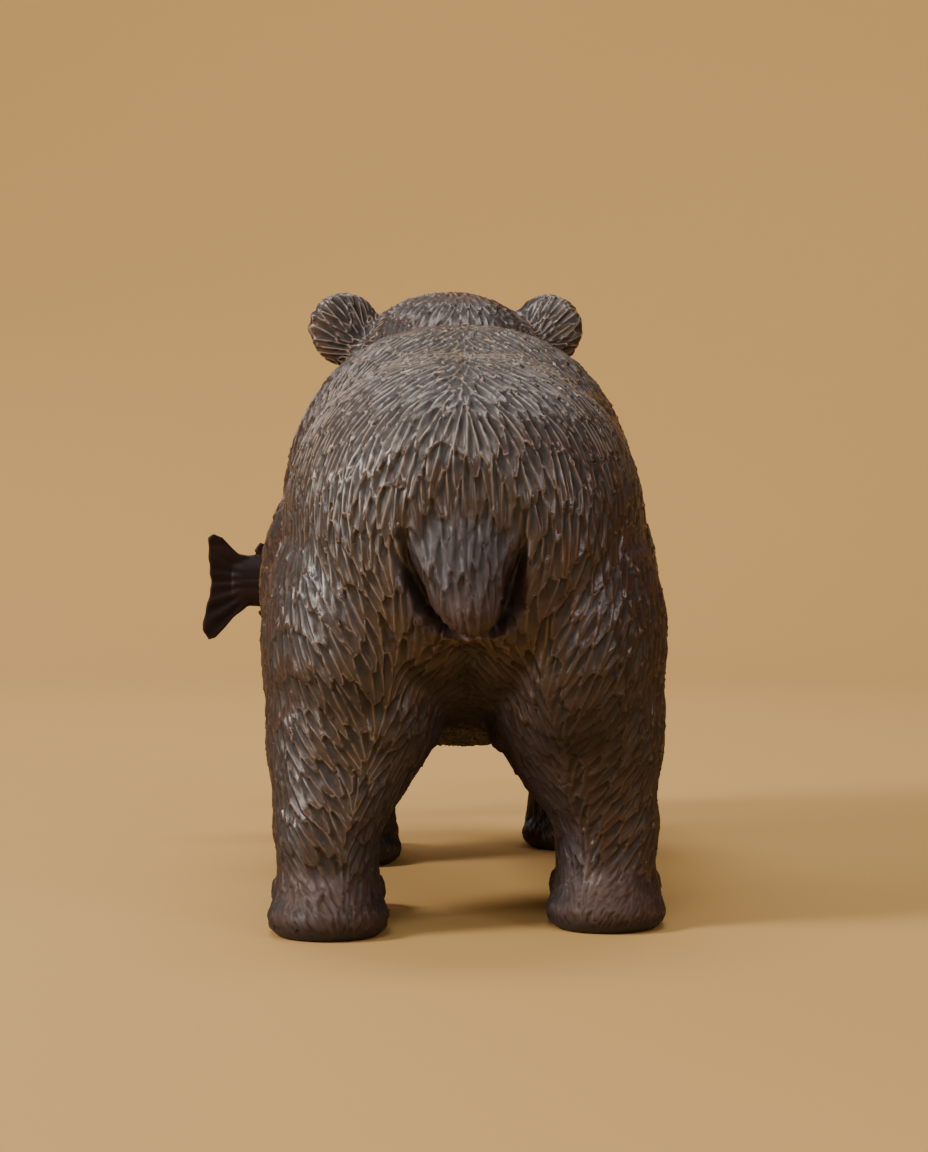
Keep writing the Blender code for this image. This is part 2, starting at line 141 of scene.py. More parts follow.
# How many rings a ball has, and how many points a ball's or the salmon's ring has.
BALL_RINGS = 32
ROUND_POINTS = 40

# The floor in metres: how wide it is flat, how far and how high it then sweeps up, and its mesh.
FLOOR_RADIUS = 1.3
SWEEP_WIDTH = 1.5
SWEEP_HEIGHT = 2.4
FLOOR_RINGS = 40
FLOOR_POINTS = 96
FLAT_SHARE = 0.3
SMALLEST_RING = 0.001

# Colours of the bear's wood, as shares of red, green and blue light.
BROWN_STAIN = (0.025, 0.014, 0.012)
RED_STAIN = (0.039, 0.013, 0.009)
# Paler rubbed colours that are also a painted highlight where the light falls on the top and the left side.
LIT_RUBBED_BROWN = (0.064, 0.047, 0.038)
LIT_RUBBED_RED = (0.058, 0.038, 0.030)
DARK_PATCH = (0.020, 0.013, 0.011)
FIBRE = (0.060, 0.038, 0.030)
# Painted shade at the root of each scoop, under the tip of the one above.
SCOOP_ROOT_SHADE = (0.009, 0.0055, 0.0045)
# The ridges' pale grey: rubbing and a painted highlight.
LIT_RUBBED_RIDGE = (0.25, 0.195, 0.16)
BARE_WOOD = (0.125, 0.052, 0.022)
ORANGE_RIDGE = (0.120, 0.045, 0.020)
# Painted shade under the belly, between the legs, on the tail and round the soles.
PAINTED_SHADE_TONE = (0.008, 0.0042, 0.008)
# Painted shade in the deepest hollows, and the black stain of the eyes and nose.
HOLLOW_SHADE_AND_BLACK = (0.004, 0.002, 0.002)

# Colours of the salmon's wood and of the floor.
FISH_STAIN = (0.007, 0.003, 0.0025)
FISH_FIBRE = (0.017, 0.006, 0.005)
FISH_EDGE = (0.090, 0.040, 0.022)
# Painted shade in the salmon's cut lines.
FISH_CUT_SHADE = (0.005, 0.0025, 0.0025)
FLOOR_TONES = ((0.51, 0.31, 0.107), (0.52, 0.32, 0.111))


def new_object(name, mesh):
    made = bpy.data.objects.new(name, mesh)
    bpy.context.scene.collection.objects.link(made)
    return made


def evaluated_mesh(thing):
    """The object's mesh with its modifiers in it."""
    bpy.context.view_layer.update()
    seen = thing.evaluated_get(bpy.context.evaluated_depsgraph_get())
    return bpy.data.meshes.new_from_object(seen)


def applied(thing):
    """The object's finished mesh; the object itself is thrown away."""
    mesh = evaluated_mesh(thing)
    bpy.data.objects.remove(thing, do_unlink=True)
    return mesh


def mesh_from(form, name):
    mesh = bpy.data.meshes.new(name)
    form.to_mesh(mesh)
    form.free()
    return mesh


def mesh_arrays(mesh):
    places = np.empty(len(mesh.vertices) * 3, np.float32)
    mesh.vertices.foreach_get("co", places)
    normals = np.empty(len(mesh.vertices) * 3, np.float32)
    mesh.vertex_normals.foreach_get("vector", normals)
    return places.reshape(-1, 3).astype(float), normals.reshape(-1, 3).astype(float)


def put_places(mesh, places):
    mesh.vertices.foreach_set("co", np.asarray(places, np.float32).ravel())
    mesh.update()


def point_tree(places):
    tree = KDTree(len(places))
    for index, place in enumerate(places):
        tree.insert(place, index)
    tree.balance()
    return tree


class Cells:
    """Sorts places into cubes, to find the ones near a point quickly."""

    def __init__(self, places, size):
        self.size = size
        self.low = places.min(0)
        cells = self.cell(places)
        self.deep, self.wide = cells[:, 2].max() + 3, cells[:, 1].max() + 3
        keys = self.key(cells[:, 0], cells[:, 1], cells[:, 2])
        self.order = np.argsort(keys, kind="stable")
        self.keys = keys[self.order]

    def cell(self, places):
        return ((places - self.low) // self.size).astype(np.int64) + 1

    def key(self, x, y, z):
        return (x * self.wide + y) * self.deep + z

    def near(self, place):
        """The places in the point's own cube and in the cubes that touch it."""
        x, y, z = self.cell(place)
        rows = np.array([self.key(x + i, y + j, z) for i in (-1, 0, 1) for j in (-1, 0, 1)])
        starts = np.searchsorted(self.keys, rows - 1)
        stops = np.searchsorted(self.keys, rows + 2)
        return np.concatenate([self.order[start:stop] for start, stop in zip(starts, stops)])


def ease(low, high, value):
    """0 below low, 1 above high, and smooth between; low may be the larger."""
    t = np.clip((value - low) / (high - low), 0, 1)
    return t * t * (3 - 2 * t)


def smooth_rows(rows, steps):
    """Rows of numbers drawn out into a smooth run that passes through each row."""
    rows = np.asarray(rows, float)
    ends = np.vstack([2 * rows[0] - rows[1], rows, 2 * rows[-1] - rows[-2]])
    run = []
    for before, start, stop, after in zip(ends, ends[1:], ends[2:], ends[3:]):
        for step in range(steps):
            t = step / steps
            bend = 2 * before - 5 * start + 4 * stop - after
            twist = 3 * start - before - 3 * stop + after
            run.append(start + 0.5 * t * ((stop - before) + t * (bend + t * twist)))
    run.append(rows[-1])
    return np.array(run)


def turned(axis, angle):
    return Matrix.Rotation(math.radians(angle), 3, axis)


def join_rings(form, rings):
    count = len(rings[0])
    faces = []
    for one, other in zip(rings, rings[1:]):
        for index in range(count):
            following = (index + 1) % count
            faces.append(form.faces.new((one[index], one[following], other[following], other[index])))
    faces.append(form.faces.new(rings[0]))
    faces.append(form.faces.new(rings[-1]))
    bmesh.ops.recalc_face_normals(form, faces=faces)


def loft(form, sections, side, up, steps=6, points=48):
    """Adds a closed body through oval sections: middle x, y, z, half width, half height and squareness."""
    side = Vector(side).normalized()
    up = Vector(up).normalized()
    rings = []
    for x, y, z, half_width, half_height, square in smooth_rows(sections, steps):
        ring = []
        for index in range(points):
            angle = 2 * math.pi * index / points
            across = math.copysign(abs(math.cos(angle)) ** (2 / square), math.cos(angle))
            above = math.copysign(abs(math.sin(angle)) ** (2 / square), math.sin(angle))
            place = Vector((x, y, z)) + side * (half_width * across) + up * (half_height * above)
            ring.append(form.verts.new(place))
        rings.append(ring)
    join_rings(form, rings)


def ball(form, middle, radii, turn=(0, 0, 0)):
    """Adds an ellipsoid with its three half sizes, turned about X, Y and Z in degrees."""
    rings = []
    for step in range(1, BALL_RINGS):
        down = math.pi * step / BALL_RINGS
        wide = math.sin(down)
        ring = []
        for index in range(ROUND_POINTS):
            round_it = 2 * math.pi * index / ROUND_POINTS
            around = (wide * math.cos(round_it), wide * math.sin(round_it), math.cos(down))
            place = Vector(share * radius for share, radius in zip(around, radii))
            for axis, angle in zip("XYZ", turn):
                place.rotate(turned(axis, angle))
            ring.append(form.verts.new(place + Vector(middle)))
        rings.append(ring)
    join_rings(form, rings)


def head_point(along, above, right=0):
    """A place on the head, from the skull's middle: along the muzzle, above it and to the right."""
    place = Vector((right, along, above))
    place.rotate(turned("X", -HEAD_DOWN))
    place.rotate(turned("Z", HEAD_LEFT))
    return place + Vector(SKULL)


def face_point(place, side):
    """A place of the face that is given once for both sides."""
    along, above, right = place
    return head_point(along, above, side * right)


def head_way(along, above, right=0):
    return head_point(along, above, right) - Vector(SKULL)


def on_head(places):
    """Each place's distances right, along and above on the head's own axes."""
    axes = np.array([head_way(0, 0, 1), head_way(1, 0), head_way(0, 1)])
    return (places - np.array(SKULL)) @ axes.T


def along_muzzle(places):
    """How far each place of the head is towards the nose; 0 below the head."""
    return on_head(places)[:, 1] * ease(70, 84, places[:, 2])


def fish_middle():
    reach = Vector((0, math.cos(math.radians(BITE_DOWN)), -math.sin(math.radians(BITE_DOWN)))) * BITE_REACH
    reach.rotate(turned("Z", HEAD_LEFT))
    return Vector(SKULL) + reach + Vector((FISH_TO_RIGHT, 0, 0))


def torso(form):
    """Rump, belly, shoulder hump and neck."""
    sections = [
        (0, -18, 126, 20, 21, 2.0),
        (0, -11, 124, 39, 38, 2.1),
        (0, 8, 122, 52, 51, 2.2),
        (0, 38, 121, 59, 60, 2.3),
        (0, 80, 120, 60, 64, 2.3),
        (0, 125, 119.5, 61, 69.5, 2.3),
        (0, 162, 122.5, 65, 77.5, 2.3),
        (-2, 192, 126, 68, 77, 2.3),
        (-4, 218, 132, 63, 68, 2.3),
        (-5, 240, 142, 51, 55, 2.1),
        (-4, 256, 152, 38, 38, 2.0),
    ]
    loft(form, sections, (1, 0, 0), (0, 0, 1))


def hind_leg(form, foot, side):
    x, y = foot
    out = 0.5 * (abs(x) - 42)
    ball(form, (side * 36.5, HIP + 5, 91), (28.5, 40, 46), (0, 0, -side * 6))
    ball(form, (side * 18.5, HIP + 6, 61.5), (12, 17, 9))
    sections = [
        (side * (32 + out), HIP + 11, 88, 30.5, 39, 2.2),
        (side * (33.5 + out), HIP + 7 + (y - HIP) * 0.25, 67, 29.5, 34, 2.2),
        (side * (36.5 + out), HIP + 5 + (y - HIP) * 0.5, 54, 26, 28, 2.3),
        (side * (39 + out), HIP + 2 + (y - HIP) * 0.8, 43, 21.2, 23, 2.3),
        (x, y, 32, 17.8, 19.5, 2.3),
        (x, y - 1, 20, 16.3, 18, 2.3),
        (x, y, 11, 17.8, 19, 2.3),
        (x, y, 5, 19.2, 19.5, 2.3),
        (x, y + 1, 1, 19, 19.5, 2.3),
    ]
    loft(form, sections, (1, 0, 0), (0, 1, 0))
    paw(form, foot, side, *HIND_PAW)


def front_leg(form, foot, side):
    x, y = foot
    ball(form, (side * 48, y - 6, 104), (29.5, 34, 46), (0, 0, side * 4))
    sections = [
        (side * 50, y - 8, 100, 26, 30, 2.2),
        (side * 50.5, y - 7, 68, 25.5, 27, 2.3),
        (side * 48.5, y - 4, 42, 22.5, 23, 2.3),
        (x, y - 1, 22, 19.5, 20, 2.3),
        (x, y + 1, 11, 20.2, 20.5, 2.3),
        (x, y + 1, 5, 21.6, 21, 2.3),
        (x, y + 2, 1, 21, 21, 2.3),
    ]
    loft(form, sections, (1, 0, 0), (0, 1, 0))
    paw(form, foot, side, *FRONT_PAW)


def paw(form, foot, side, half_width, reach):
    """A rounded pad that flares at the heel, with five toes and claws across its front, toes turned out."""
    turn = -side * TOE_OUT

    def beside_ankle(across, ahead, up):
        place = Vector((across, ahead, up))
        place.rotate(turned("Z", turn))
        return place + Vector((*foot, 0))

    heel = HEEL_LENGTH - HEEL_BACK
    ball(form, beside_ankle(0, heel, 6), (half_width, HEEL_LENGTH, 9.5), (0, 0, turn))
    ball(form, beside_ankle(0, heel + 1.5, 10), (half_width - 3, HEEL_LENGTH - 2, 13), (0, 0, turn))
    middle = (reach - HEEL_BACK) / 2
    ball(form, beside_ankle(0, middle, 7), (half_width - 2, reach - middle - 6, 10.5), (0, 0, turn))
    ball(form, beside_ankle(0, middle + 3, 11), (half_width - 4, reach - middle - 14, 13), (0, 0, turn))
    for toe in range(5):
        share = (toe - 2) / 2
        across = share * (half_width - 6)
        front = reach - 10 - 6 * share * share
        ball(form, beside_ankle(across, front, 6.8), (5.4, 10, 7.6), (0, 0, turn - share * 12))
        claw = []
        for ahead, up, half in ((6, 8.5, 3.0), (12, 7.5, 2.5), (17, 3.5, 1.5)):
            claw.append((*beside_ankle(across * (1 + ahead / 200), front + ahead, up), half, half, 2))
        loft(form, claw, (1, 0, 0), (0, 0.4, 1), 4, 16)


def tail(form):
    """A tongue-shaped tail that hangs close against the rump."""
    sections = [
        (-1, -3, 146, 8, 6, 2),
        (-1, -8.5, 136, 13, 7.5, 2.1),
        (-1, -12.5, 124, 15, 8.5, 2.2),
        (0, -16, 111, 14, 8.5, 2.2),
        (1.5, -18.5, 100, 10, 7.5, 2.1),
        (*TAIL_TIP, 4, 4.5, 2),
    ]
    loft(form, sections, (1, 0, 0), (0, 1, 0.25))


def head(form):
    """Skull, cheeks, brow, muzzle and both jaws."""
    ball(form, SKULL, (45, 45, 43.5), (-18, 0, HEAD_LEFT))
    side = head_way(0, 0, 1)
    for right in (-1, 1):
        ball(form, head_point(12, -16, right * 26), (19, 25, 24), (-HEAD_DOWN, 0, HEAD_LEFT))
        ball(form, head_point(33, 22, right * 14), (10, 11, 6.5), (-HEAD_DOWN, 0, HEAD_LEFT))
    upper = [
        (*head_point(10, 3), 34, 31, 2.2),
        (*head_point(36, 2), 28, 24.5, 2.2),
        (*head_point(56, 2), 22, 18.5, 2.3),
        (*head_point(78, 2), 19, 15, 2.4),
        (*head_point(95, 1), 17, 13.5, 2.4),
        (*head_point(104, -1), 11, 9, 2.2),
    ]
    loft(form, upper, side, head_way(0, 1))
    ball(form, head_point(102, 7), (9.5, 6, 7), (-HEAD_DOWN, 0, HEAD_LEFT))
    slope = math.radians(JAW_OPEN)
    jaw = []
    jaw_sizes = ((12, 28, 15), (36, 22, 11), (62, 17, 8.5), (84, 14.5, 7), (93, 9.5, 5))
    for reach, half_width, half_height in jaw_sizes:
        along = reach * math.cos(slope)
        above = -21 - reach * math.sin(slope)
        jaw.append((*head_point(along, above), half_width, half_height, 2.2))
    loft(form, jaw, side, head_way(math.sin(slope), math.cos(slope)))


def ear_middle(side):
    middle = Vector((EAR_LEFT if side < 0 else EAR_RIGHT, -EAR_BEHIND, EAR_ABOVE))
    middle.rotate(turned("Z", HEAD_LEFT))
    return middle + Vector(SKULL)


def ear(form, side):
    """A thick round ear, leaning outwards."""
    middle = ear_middle(side)
    sections = []
    outline = ((-15, 5, 4), (-10, 11.5, 5.2), (-3, 14.8, 5.6), (5, 14.6, 5.4), (11, 11, 4.8), (15, 5, 3))
    lean = Vector((side * 0.42, -0.1, 1)).normalized()
    across = Vector((1, -side * 0.28, -side * 0.42)).normalized()
    for reach, half_width, half_thickness in outline:
        sections.append((*(middle + lean * reach), half_width, half_thickness, 2.1))
    loft(form, sections, across, across.cross(lean), 5)


def eyes(form):
    for side in (-1, 1):
        ball(form, face_point(EYE, side), (EYE_RADIUS, EYE_RADIUS, EYE_RADIUS))


def bear_skin():
    """One smooth closed skin around all of the bear's masses, with soft fillets where they meet."""
    form = bmesh.new()
    torso(form)
    hind_leg(form, HIND_LEFT, -1)
    hind_leg(form, HIND_RIGHT, 1)
    front_leg(form, FRONT_LEFT, -1)
    front_leg(form, FRONT_RIGHT, 1)
    tail(form)
    head(form)
    for side in (-1, 1):
        ear(form, side)
    eyes(form)
    return remeshed(form, GRAIN, FILLET_PASSES)


def remeshed(form, grain, passes):
    thing = new_object("block", mesh_from(form, "block"))
    skin = thing.modifiers.new("skin", "REMESH")
    skin.mode = "VOXEL"
    skin.voxel_size = grain
    fillet = thing.modifiers.new("fillet", "SMOOTH")
    fillet.factor = 0.5
    fillet.iterations = passes
    return applied(thing)


def ways_of(count, right, ahead, up):
    """One way for each place; each share is one number or one for each place."""
    return np.stack([np.broadcast_to(np.asarray(share, float), count) for share in (right, ahead, up)], 1)


def fur_way(places, normals):
    """The way the fur lies at each place, along the surface."""
    x, y, z = places.T
    count = len(places)
    side = np.tanh(x / 7)
    behind = ease(0.1, 0.6, -normals[:, 1]) * ease(90, 40, y)
    # On the rump's dome the fur parts at the back's middle line and swings inwards again beside the tail.
    swing = 0.78 * np.clip((z - 116) / 62, 0, 1) - 0.35 * ease(126, 104, z) * ease(12, 22, np.abs(x))
    back = ways_of(count, 0.55 * side, -1, -0.5)
    dome = ways_of(count, swing * side, -0.3, -1)
    on_dome = ease(0.0, 0.7, -normals[:, 1]) * ease(90, 40, y) * ease(184, 164, z)
    way = back + (dome - back) * on_dome[:, None]
    # Behind the thighs the fur runs from both sides towards a seam that goes down each leg.
    seam = np.where(x > 0, 1, -1) * (21.5 + 16 * ease(0, 1, (95 - z) / 75))
    lean = 0.55 + 0.35 * ease(80, 45, z) - 0.3 * ease(22, 8, z)
    outer = ease(24, 44, np.abs(x - seam))
    rump = ways_of(count, -lean * np.tanh((x - seam) / 4) * (1 - 0.7 * outer), 0, -1)
    leg = ways_of(count, 0.08 * side, -0.5, -1)
    lower = leg + (rump - leg) * behind[:, None]
    low = ease(116, 92, z)
    way = way + (lower - way) * low[:, None]
    # The tail's strokes run straight down to its tip.
    on_tail = behind * ease(21, 15, np.abs(x)) * ease(88, 94, z) * ease(150, 128, z)
    tongue = ways_of(count, -0.12 * (x - TAIL_TIP[0]) / 8, 0, -1)
    way = way + (tongue - way) * on_tail[:, None]
    # Over the head the fur runs back from the nose, and on an ear it fans out from the ear's root.
    face = np.array(head_way(-1, 0.25))
    ahead = ease(222, 243, y) * ease(70, 110, z)
    way = way + (face - way) * ahead[:, None]
    for left_or_right in (-1, 1):
        middle = np.array(ear_middle(left_or_right))
        fan = places - (middle + (-9 * left_or_right, 0, -9))
        near_ear = ease(20, 15, np.linalg.norm(places - middle, axis=1))
        way = way + (fan / 16 - way) * near_ear[:, None]
    way = way - normals * np.sum(way * normals, 1)[:, None]
    return way / (np.linalg.norm(way, axis=1)[:, None] + 1e-9)


def from_ears(places):
    """Each place's distance from the middle of the nearer ear."""
    return np.min([np.linalg.norm(places - np.array(ear_middle(side)), axis=1) for side in (-1, 1)], axis=0)


def stroke_sizes(places):
    """How large the gouge is at each place, as a share of the one on the back."""
    x, y, z = places.T
    legs = 1 - 0.12 * ease(88, 52, z) - 0.3 * ease(20, 8, z)
    size = legs * (1 - 0.15 * ease(235, 250, y) * ease(100, 130, z))
    size = size * (1 - 0.35 * ease(26, 60, along_muzzle(places)))
    size = size * (1 - 0.3 * ease(20, 16, from_ears(places)))
    ruff = np.exp(-(((y - 205) / 26) ** 2)) * ease(34, 46, np.abs(x)) * ease(90, 120, z)
    return np.clip(size * (1 + 0.5 * ruff), 0.4, 1.5)


def stroke_strength(places, normals):
    """How deep the strokes are at each place: none on soles, claws, eyes, nose and lips."""
    x, y, z = places.T
    strength = ease(0.5, 4, z) * (1 - 0.85 * ease(84, 96, along_muzzle(places)))
    strength = strength * (1 - ease(0.5, 0.9, -normals[:, 2]) * ease(30, 10, z))
    for side in (-1, 1):
        apart = np.linalg.norm(places - np.array(face_point(EYE, side)), axis=1)
        strength = strength * ease(5.5, 9, apart)
    feet = (HIND_LEFT, HIND_PAW), (HIND_RIGHT, HIND_PAW), (FRONT_LEFT, FRONT_PAW), (FRONT_RIGHT, FRONT_PAW)
    for foot, (_, reach) in feet:
        ahead = y - foot[1]
        toes = ease(reach - 16, reach - 10, ahead) * ease(reach + 30, reach + 20, ahead)
        toes = toes * ease(30, 26, np.abs(x - foot[0])) * ease(26, 20, z)
        strength = strength * (1 - toes)
    return strength


def spread_seeds(places, normals, ways, sizes):
    """Places for the strokes, evenly strewn: closer side by side than end to end."""
    chance = np.random.RandomState(STROKE_SEED)
    order = chance.permutation(len(places))[:STROKE_TRIES]
    cell = STROKE_LENGTH * STROKE_SPACING
    homes = (places // cell).astype(int)
    across = np.cross(normals, ways) / (STROKE_WIDTH * STROKE_SPACING * sizes)[:, None]
    along = ways / (STROKE_LENGTH * STROKE_SPACING * sizes)[:, None]
    through = normals / (STROKE_LENGTH * STROKE_SPACING * sizes)[:, None]
    frames = np.stack([across, along, through], 1)
    around = [(i, j, k) for i in (-1, 0, 1) for j in (-1, 0, 1) for k in (-1, 0, 1)]
    kept = []
    cells = {}
    for index in order:
        x, y, z = homes[index]
        near = []
        for i, j, k in around:
            near += cells.get((x + i, y + j, z + k), ())
        if near and np.min(np.sum(((places[near] - places[index]) @ frames[index].T) ** 2, 1)) < 1:
            continue
        kept.append(index)
        cells.setdefault((x, y, z), []).append(index)
    return np.array(kept)


def choose_strokes(places, normals):
    """The strokes as rows: place, way, outward direction and size, three numbers each and one."""
    ways = fur_way(places, normals)
    sizes = stroke_sizes(places)
    seeds = spread_seeds(places, normals, ways, sizes)
    return np.hstack([places[seeds], ways[seeds], normals[seeds], sizes[seeds, None]])


def carve_strokes(strokes, places, normals):
    """Cuts the fur stroke by stroke: depth, how near a ridge between strokes, and the painted shade deep
    under a tip.

    Every place belongs to the stroke that reaches deepest there, so thin ridges are left where two strokes
    meet, and each stroke starts deep under the tip of the one above it and rises to its own tip.
    """
    chance = np.random.RandomState(STROKE_SEED + 1)
    cells = Cells(places, STROKE_LENGTH * 0.8)
    count = len(places)
    best, second = np.full(count, -9.0), np.full(count, -9.0)
    best_slope, second_slope = np.zeros((count, 3)), np.zeros((count, 3))
    rise = np.zeros(count)
    for stroke in strokes:
        middle, way, outward, size = stroke[:3], stroke[3:6], stroke[6:9], stroke[9]
        length, width = chance.uniform(SMALLEST_STROKE, LARGEST_STROKE)
        turn = math.radians(chance.uniform(-STROKE_TURN, STROKE_TURN))
        way = way * math.cos(turn) + np.cross(outward, way) * math.sin(turn)
        side = np.cross(outward, way)
        half_length, half_width = STROKE_LENGTH * size * length / 2, STROKE_WIDTH * size * width / 2
        near = cells.near(middle)
        near = near[normals[near] @ outward > 0.2]
        offset = places[near] - middle
        along = offset @ way / half_length
        beside = offset @ side / half_width
        through = offset @ outward / half_length
        narrow = 1 + 0.9 * along**2
        reach = -((beside * narrow) ** 2) - through**2 - along**2
        slope = np.outer(-2 * beside * narrow**2 / half_width, side)
        slope = slope + np.outer(-2 * along / half_length, way)
        was, was_slope = best[near], best_slope[near]
        better = reach > was
        other, other_slope = np.where(better, was, reach), np.where(better[:, None], was_slope, slope)
        closer = other > second[near]
        second[near[closer]] = other[closer]
        second_slope[near[closer]] = other_slope[closer]
        best[near[better]] = reach[better]
        best_slope[near[better]] = slope[better]
        rise[near[better]] = along[better]
    strength = stroke_strength(places, normals)
    size = stroke_sizes(places)
    from_ridge = (best - second) / (np.linalg.norm(best_slope - second_slope, axis=1) + 0.05) / size
    bowl = np.clip(from_ridge / BOWL_REACH, 0, 1)
    hollow = bowl * (2 - bowl)
    under_tip = 0.5 - 0.5 * np.clip(rise, -1, 1)
    depth = (STROKE_DEPTH * hollow + STROKE_STEP * under_tip) * (0.25 + 0.75 * size) * strength
    ridge = np.exp(-((from_ridge / RIDGE_REACH) ** 2)) * ease(0, 0.5, strength)
    # Painted shade: each scoop's deep root under the tip above is darkened in the colour.
    shade = ease(0.1, 0.85, under_tip) * ease(0.0, 0.5, hollow) * strength
    return depth, ridge, shade


def tail_hollows(places, normals):
    """Where the block is cut deeper beside the tail, under its tip and between the thighs."""
    x, y, z = places.T
    behind = ease(0.2, 0.6, -normals[:, 1]) * ease(20, 0, y)
    tip_x, _, tip_z = TAIL_TIP
    above_tip = np.clip((z - tip_z) / 30, 0, 1)
    half_width = 18 * np.sqrt(above_tip * (2 - above_tip))
    middle_line = tip_x * ease(20, 0, z - tip_z)
    from_edge = np.abs(x - middle_line) - half_width
    groove = np.exp(-((from_edge / 2.2) ** 2)) * ease(-3, 2, z - tip_z) * ease(44, 16, z - tip_z)
    pit = np.exp(-(((x - tip_x) / 9) ** 2) - ((z - tip_z + 7) / 6) ** 2)
    crease = np.exp(-((x / 7) ** 2)) * ease(56, 66, z) * ease(90, 82, z)
    return behind * np.maximum(np.maximum(TAIL_GROOVE * groove, TAIL_PIT * pit), THIGH_CREASE * crease)


def ear_hollows(places, normals):
    cut = np.zeros(len(places))
    for side in (-1, 1):
        bowl = np.array(ear_middle(side)) + np.array((side * 0.5, 4, 1))
        share = np.linalg.norm((places - bowl) / (9.5, 9, 10.5), axis=1)
        in_front = ease(0.15, 0.6, normals[:, 1])
        cut = np.maximum(cut, EAR_HOLLOW * in_front * np.clip(1 - share**3, 0, 1))
    return cut


def face_cuts(places):
    """The lids around the eyes, the nostrils and the groove under the nose."""
    right, along, above = on_head(places).T
    cut = np.zeros(len(places))
    for side in (-1, 1):
        apart = np.linalg.norm(places - np.array(face_point(LIDS, side)), axis=1)
        lid = np.exp(-(((apart - 4.6) / 1.1) ** 2))
        cut = cut + 1.3 * lid - 1.2 * ease(4.0, 1.0, apart)
        nostril = np.linalg.norm(places - np.array(face_point(NOSTRIL, side)), axis=1)
        cut = cut + 2.4 * np.exp(-((nostril / 2.4) ** 2))
    groove = np.exp(-((right / 0.9) ** 2)) * ease(100, 104, along) * ease(2, -2, above)
    return cut + 1.2 * groove


def worn_places(places, normals):
    """How far the stain has worn to orange brown: the hump's crest, crown, tail's tip, heels and nose."""
    x, y, z = places.T
    hump = np.exp(-(((y - 190) / 16) ** 2)) * ease(196, 201, z) * np.exp(-((x / 30) ** 2))
    tail_tip = ease(-8, -14, y) * np.exp(-(((z - 98) / 9) ** 2) - ((x - 1) / 12) ** 2)
    heels = ease(24, 12, z) * ease(2, 6, z) * ease(0.2, 0.7, -normals[:, 1]) * ease(60, 30, y)
    crown = np.exp(-(((x + 2) / 14) ** 2)) * ease(208, 216, z) * ease(220, 232, y)
    nose = ease(88, 100, along_muzzle(places))
    worn = 1.0 * hump + 0.5 * tail_tip + 0.6 * heels + 0.5 * crown + 0.4 * nose
    return np.clip(worn, 0, 1)


def lit_and_rubbed_places(places):
    """How far the wood is painted paler for the light on it and rubbed pale on the ridges: most on the
    back, the left side and the ears.
    """
    x, y, z = places.T
    # Painted highlight: the top and the left side, where the lamps fall most, are painted paler; less low
    # down, on the tail and towards the head.
    upper = ease(105, 160, z) * (1 - 0.5 * ease(40, 58, np.abs(x)))
    left = ease(5, -25, x) * (1 - 0.7 * ease(44, 58, -x))
    lit_and_rubbed = (0.15 + 0.5 * upper + 0.35 * left * (1 - 0.5 * upper)) * (0.1 + 0.9 * ease(8, 38, z))
    on_tail = ease(-6, -12, y) * ease(136, 118, z) * ease(20, 15, np.abs(x))
    lit_and_rubbed = lit_and_rubbed * (1 - 0.7 * on_tail)
    lit_and_rubbed = lit_and_rubbed * (1 - 0.6 * ease(145, 190, y)) * (1 - 0.35 * ease(215, 240, y))
    return np.maximum(lit_and_rubbed, 0.8 * ease(19, 15, from_ears(places)) * ease(242, 236, y))


def dark_features(places):
    """The eyes and the nose, stained nearly black."""
    dark = 0.7 * ease(98, 103, along_muzzle(places))
    for side in (-1, 1):
        apart = np.linalg.norm(places - np.array(face_point(EYE, side)), axis=1)
        dark = np.maximum(dark, ease(5.2, 4.2, apart))
    return dark


def painted_shade_places(places, normals):
    """Where painted shade darkens the wood: on the tail, under the belly, between the legs and round the
    soles.
    """
    x, y, z = places.T
    below = ease(0.0, 0.7, -normals[:, 2]) * ease(90, 75, z)
    inside = ease(24, 12, np.abs(x)) * ease(94, 86, z) * ease(0, -12, -y)
    between = ease(0.1, 0.7, -normals[:, 0] * np.sign(x)) * ease(80, 60, z)
    on_tail = ease(-6, -12, y) * ease(136, 118, z) * ease(88, 96, z) * ease(20, 15, np.abs(x))
    soles = ease(28, 8, z) * ease(60, 30, y)
    return np.clip(np.max([below, inside, 0.7 * between, 0.65 * on_tail, 0.6 * soles], axis=0), 0, 1)


def chosen_triangles(thing, name, chosen):
    """Names the chosen vertices as a group and counts the triangles that lie wholly among them."""
    mesh = thing.data
    corners = np.empty(len(mesh.loops), np.int32)
    mesh.loops.foreach_get("vertex_index", corners)
    inside = np.add.reduceat(chosen[corners].astype(int), [face.loop_start for face in mesh.polygons])
    sides = np.array([face.loop_total for face in mesh.polygons])
    before = int(np.sum((sides - 2)[inside == sides]))
    group = thing.vertex_groups.new(name=name)
    group.add(np.flatnonzero(chosen).tolist(), 1.0, "REPLACE")
    return before


def thinned(mesh, seen):
    """The mesh with fewer triangles: finer where the photograph looks than on the other sides."""
    thing = new_object("thinned", mesh)
    total = int(sum(face.loop_total - 2 for face in mesh.polygons))
    for name, chosen, wanted in (("other", ~seen, OTHER_TRIANGLES), ("seen", seen, SEEN_TRIANGLES)):
        before = chosen_triangles(thing, name, chosen)
        left = total - before + min(wanted, before)
        thin = thing.modifiers.new(name, "DECIMATE")
        thin.vertex_group = name
        thin.ratio = left / total
        total = left
    return applied(thing)


def put_attribute(mesh, name, values):
    made = mesh.attributes.new(name, "FLOAT", "POINT")
    made.data.foreach_set("value", np.asarray(values, np.float32))


